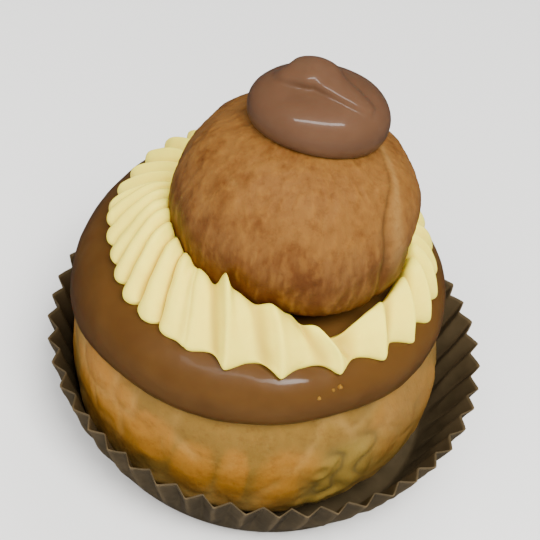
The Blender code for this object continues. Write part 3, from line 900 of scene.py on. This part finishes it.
def make_piped_cream(tree, material):
    """The ring of star-piped cream, open in a notch at the front right where it starts and ends."""
    azimuth, columns, lobes = lobe_columns()
    front = angle_between(azimuth, 0.0)
    line = soft_loop(collar_corners(front), COLLAR_ROWS)
    radius, height, reach, lift, slant = np.moveaxis(line, -1, 0)
    lean = 9.0 * bump(front, -150.0, 60.0) + 7.0 * bump(front, -92.0, 26.0) + 6.0 * bump(front, -60.0, 9.0)
    lean = lean - 9.0 * bump(front, -22.0, 28.0) * eased(front, -60.0, -46.0)
    full = azimuth - (1.0 - slant) * lean
    overlap = eased(columns - lobes, -0.9, -0.45) * 0.7
    grid = spin(full, radius, height + overlap * lift)
    mesh = skin("piped_cream", (grid + pastry_axis()) * MM, closed_loop=True)
    every_row = np.ones_like(radius)
    mark(mesh, "phase", columns * every_row)
    mark(mesh, "roundness", (1.0 - eased(front, -125.0, -96.0)) * every_row)
    mark(mesh, "rightward", (columns < 0.25 * lobes) * every_row)
    mark(mesh, "outward", spin(full, 1.0, 0.0) * reach[..., None])
    mark(mesh, "raised", lift[..., None] * (0.0, 0.0, 1.0))
    return soften(run_tree(add_object(mesh), tree, material, {
        "Tip Length": 0.0027, "Ridge Height": 0.0048, "Lap": 0.68, "Unevenness": 0.4,
        "Seed": 3.0, "Softness": 0.0004}), 5)


# ---------------------------------------------------------------- the paper case

PLEATS = 48
FLOOR_RADIUS = 34.6
FLOOR_RINGS = (0.985, 0.93, 0.7, 0.45, 0.2)


def pleat_tree():
    """Geometry Nodes: a plain cup's wall is pushed into sharp, slightly uneven pleats."""
    tree, value, leave, place = shape_tree("pleated cup", {
        "Pleats": 48.0, "Pleat Depth": 0.001, "Unevenness": 0.25, "Rim Wander": 0.0005})
    up = kept(tree, "up")
    drift = sway(tree, place, 0.012, value["Unevenness"], 1.0, 0.5)
    fold = (kept(tree, "turn") * value["Pleats"] + drift).math("PINGPONG", 0.5) * 4.0 - 1.0
    depth = sway(tree, place, 0.009, value["Unevenness"], 1.0, 0.9) + 1.0
    fold_share = up.eased(0.02, 0.55)
    geometry = push(tree, value["Geometry"], fold * depth * fold_share * value["Pleat Depth"],
                    kept(tree, "outward", "FLOAT_VECTOR"))
    upward = add_node(tree, "ShaderNodeCombineXYZ", {"Z": 1.0}).outputs[0]
    ragged = sway(tree, place, 0.006, value["Rim Wander"], 2.0, 0.3) * up.eased(0.6, 1.0)
    geometry = push(tree, geometry, ragged, upward)
    geometry = store(tree, geometry, "fold", fold.eased(0.45, 1.0) * fold_share)
    return close_tree(tree, geometry, value["Material"], leave)


def make_case_paper(tree, material):
    """The glassine case: flat floor, flared pleated wall and cut rim."""
    low, high = (np.array(corner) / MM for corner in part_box("paper_case"))
    rim = 0.5 * (high[0] - low[0]) - 1.0
    wall = np.linspace(1.0, 0.0, CASE_ROWS)
    floor = np.zeros(len(FLOOR_RINGS))
    radius = np.concatenate((FLOOR_RADIUS + (rim - FLOOR_RADIUS) * wall ** 0.85,
                             FLOOR_RADIUS * np.array(FLOOR_RINGS)))
    height = np.concatenate((0.35 + (high[2] - 0.35) * wall, floor + 0.12))
    up = np.concatenate((wall, floor))
    azimuth, radius, height, up = np.broadcast_arrays(
        around(PLEATS * PLEAT_STEPS), *(part[:, None] for part in (radius, height, up)))
    mesh = skin("case_paper", spin(azimuth, radius, height) * MM)
    open_the_top(mesh)
    mark(mesh, "up", up)
    mark(mesh, "turn", azimuth / 360.0)
    mark(mesh, "outward", spin(azimuth, 1.0, 0.0))
    piece = run_tree(add_object(mesh), tree, material, {
        "Pleats": float(PLEATS), "Pleat Depth": 0.001, "Unevenness": 0.22, "Rim Wander": 0.0005})
    sheet = piece.modifiers.new("paper", "SOLIDIFY")
    sheet.thickness = 0.00022
    sheet.offset = 0.0
    return settle(piece)


def open_the_top(mesh):
    """Takes away the fan of faces over a cup's rim, with its middle point."""
    shape = bmesh.new()
    shape.from_mesh(mesh)
    rim_pole = max((vertex for vertex in shape.verts if vertex.co.xy.length < 1e-6),
                   key=lambda vertex: vertex.co.z)
    bmesh.ops.delete(shape, geom=[rim_pole], context="VERTS")
    shape.to_mesh(mesh)
    shape.free()


# ---------------------------------------------------------------- stage

# Each lamp's angle, elevation, distance, width, height, strength, colour and turn about its axis
LAMPS = {
    "key": (-60.0, 64.0, 0.6, 0.28, 0.28, 6.6, (1.0, 0.98, 0.94), 0.0),
    "fill": (-140.0, 42.0, 0.7, 0.5, 0.4, 2.2, (1.0, 0.98, 0.96), 0.0),
    "low": (-90.0, 24.0, 0.7, 0.6, 0.25, 3.1, (1.0, 0.98, 0.95), 0.0),
    "back": (70.0, 55.0, 0.7, 0.5, 0.3, 2.5, (1.0, 1.0, 1.0), 0.0),
    "tube": (-87.0, 66.5, 0.6, 0.56, 0.075, 1.8, (1.0, 1.0, 1.0), 6.0)}


def make_lights():
    """Soft lamps round the pastry, of which only the long tube glints, under a pale even sky."""
    middle = Vector((0.0, 0.0, 0.04))
    for name, (azimuth, elevation, distance, wide, tall, energy, colour, turn) in LAMPS.items():
        lamp = bpy.data.lights.new(name, "AREA")
        lamp.shape = "RECTANGLE"
        lamp.size, lamp.size_y, lamp.energy, lamp.color = wide, tall, energy, colour
        thing = add_object(lamp)
        rise = math.radians(elevation)
        away = Vector(spin(azimuth, math.cos(rise), math.sin(rise))) * distance
        thing.location = middle + away
        thing.rotation_euler = (-away).to_track_quat("-Z", "Y").to_euler()
        thing.rotation_euler.rotate_axis("Z", math.radians(turn))
        thing.visible_glossy = name == "tube"
    world = bpy.data.worlds.new("studio")
    world.use_nodes = True
    tree = world.node_tree
    sky = tree.nodes["Background"]
    plug(tree, (0.95, 0.96, 1.0), sky.inputs["Color"])
    glossy = Wire(tree, add_node(tree, "ShaderNodeLightPath").outputs["Is Glossy Ray"])
    plug(tree, glossy * -0.42 + 0.5, sky.inputs["Strength"])
    bpy.context.scene.world = world


def make_floor():
    half = 3.0
    mesh = bpy.data.meshes.new("floor")
    mesh.from_pydata([(-half, -half, 0), (half, -half, 0), (half, half, 0), (-half, half, 0)],
                     [], [(0, 1, 2, 3)])
    floor = add_object(mesh)
    material, tree, shader = new_material("plain_floor")
    plug(tree, (0.78, 0.78, 0.77), shader.inputs["Base Color"])
    plug(tree, 0.7, shader.inputs["Roughness"])
    mesh.materials.append(material)
    floor.visible_glossy = False


def make_camera():
    """Looks down on the pastry from the front, turned a little so that it leans to the right."""
    elevation = math.radians(CAMERA_ELEVATION)
    roll = math.radians(CAMERA_ROLL)
    forward = Vector((0.0, math.cos(elevation), -math.sin(elevation)))
    level = Vector((1.0, 0.0, 0.0))
    right = level * math.cos(roll) + level.cross(forward) * math.sin(roll)
    middle = Vector(pastry_axis() * MM) + Vector((0.0, 0.0, MIDDLE_HEIGHT))
    eye = middle - forward * CAMERA_DISTANCE
    forward = (Vector(CAMERA_AIM) - eye).normalized()
    right = (right - forward * right.dot(forward)).normalized()
    lens = bpy.data.cameras.new("camera")
    lens.lens = CAMERA_LENS
    lens.sensor_width = 36.0
    lens.clip_start = 0.01
    thing = add_object(lens)
    pose = Matrix((right, right.cross(forward), -forward)).transposed().to_4x4()
    pose.translation = eye
    thing.matrix_world = pose
    bpy.context.scene.camera = thing


# ---------------------------------------------------------------- the whole

def finish_piece(piece, slot, *nodes):
    """A finished piece: smooth, on the pastry's one body, in its solid's place and finish."""
    piece.data.shade_smooth()
    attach(piece, "root")
    if nodes:
        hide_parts(*nodes)


def main():
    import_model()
    make_camera()

    groups = (tone_group(), grain_group())
    # Each crust's crease colour is also the colour of its painted shade.
    base_look = crust_finish("base_choux_crust", *groups, {
        "golden": (0.160, 0.086, 0.0130), "browned": (0.264, 0.113, 0.0125),
        "split": (0.44, 0.26, 0.072), "streak": (0.215, 0.112, 0.0185),
        "damp": (0.215, 0.135, 0.025), "crease": (0.098, 0.068, 0.021)},
        patch=0.008, contrast=0.6, upright=0.7, plates=0.15, streaks=0.3)
    head_look = crust_finish("head_choux_crust", *groups, {
        "golden": (0.148, 0.064, 0.0140), "browned": (0.074, 0.0215, 0.0026),
        "split": (0.235, 0.130, 0.037), "streak": (0.205, 0.093, 0.0180),
        "damp": (0.14, 0.095, 0.025), "crease": (0.045, 0.020, 0.005)},
        patch=0.0055, contrast=1.05, upright=0.30, plates=0.2, streaks=0.48)
    base_icing = icing_finish("base_fondant", *groups, (0.073, 0.0325, 0.0073), (0.053, 0.0215, 0.0041))
    # The small chou's fondant is the same icing as the large chou's, painted lighter and greyer: painted light
    # from above and a painted hazy reflection.
    head_icing = icing_finish("head_fondant", *groups, (0.088, 0.0440, 0.0230), (0.068, 0.0315, 0.0150))
    cream_look = cream_finish(*groups)
    paper_look = paper_finish(*groups)

    crust = crust_tree()
    ripples = ripple_tree()
    finish_piece(make_case_paper(pleat_tree(), paper_look), "case_paper", "paper_case")
    finish_piece(make_base_crust(crust, base_look), "crust", "base_chou")
    glaze = make_base_glaze(ripples, base_icing)
    finish_piece(make_crumbs(crumb_tree(), base_look, glaze), "crust")
    finish_piece(glaze, "icing", "base_icing")
    finish_piece(make_piped_cream(piping_tree(), cream_look), "cream", "cream_collar")
    finish_piece(make_head_crust(crust, head_look), "crust", "head_chou")
    finish_piece(make_head_glaze(ripples, head_icing), "icing", "head_icing")

    make_floor()
    make_lights()


main()
